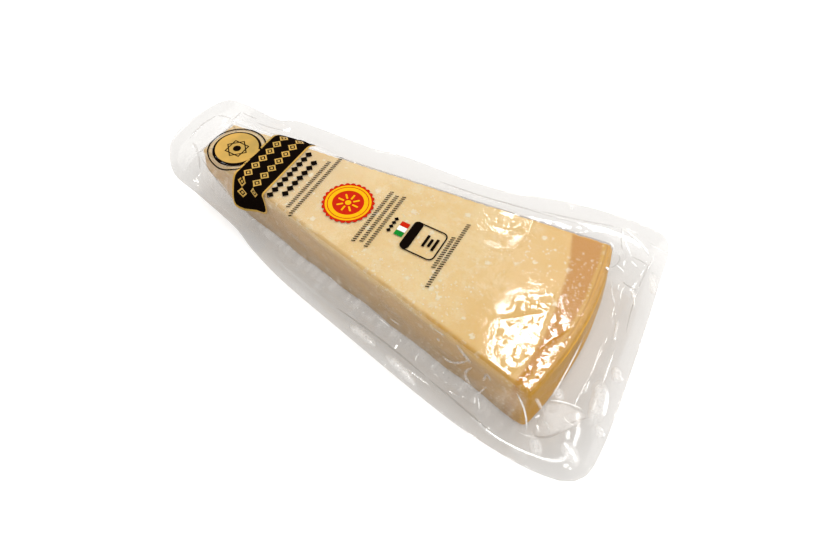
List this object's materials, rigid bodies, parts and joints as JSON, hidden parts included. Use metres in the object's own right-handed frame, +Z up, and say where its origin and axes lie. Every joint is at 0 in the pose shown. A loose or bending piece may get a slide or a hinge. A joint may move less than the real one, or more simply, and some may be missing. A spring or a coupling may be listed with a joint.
{
  "type": "vacuum-packed wedge of hard cheese",
  "caption": "Long flat wedge of hard aged cheese with its rind at the wide end, sealed in clear film with a wavy flange all round.",
  "frame": {"origin": "middle of the pack's box, on the surface that the wedge's flat underside lies on", "axes": "+X along the wedge from its cut tip to its rind, +Z up out of the cut face that carries the print"},
  "size_m": [0.1942, 0.1033, 0.02],
  "materials": {
    "cheese_under_film": "pale straw cut cheese with white crystals under clear glossy film",
    "cheese_paste": "pale straw grainy paste, orange-brown towards the rind",
    "clear_film": "clear glossy packing film, creased where it is pulled tight",
    "black_ink": "black printing ink under film gloss",
    "gold_ink": "gold printing ink that shades from yellow to olive",
    "red_ink": "red printing ink under film gloss",
    "yellow_ink": "yellow printing ink under film gloss",
    "white_ink": "white printing ink under film gloss",
    "green_ink": "green printing ink under film gloss"
  },
  "bodies": {
    "root": {"sealed_wedge": "cheese_under_film"}
  },
  "joints": []
}
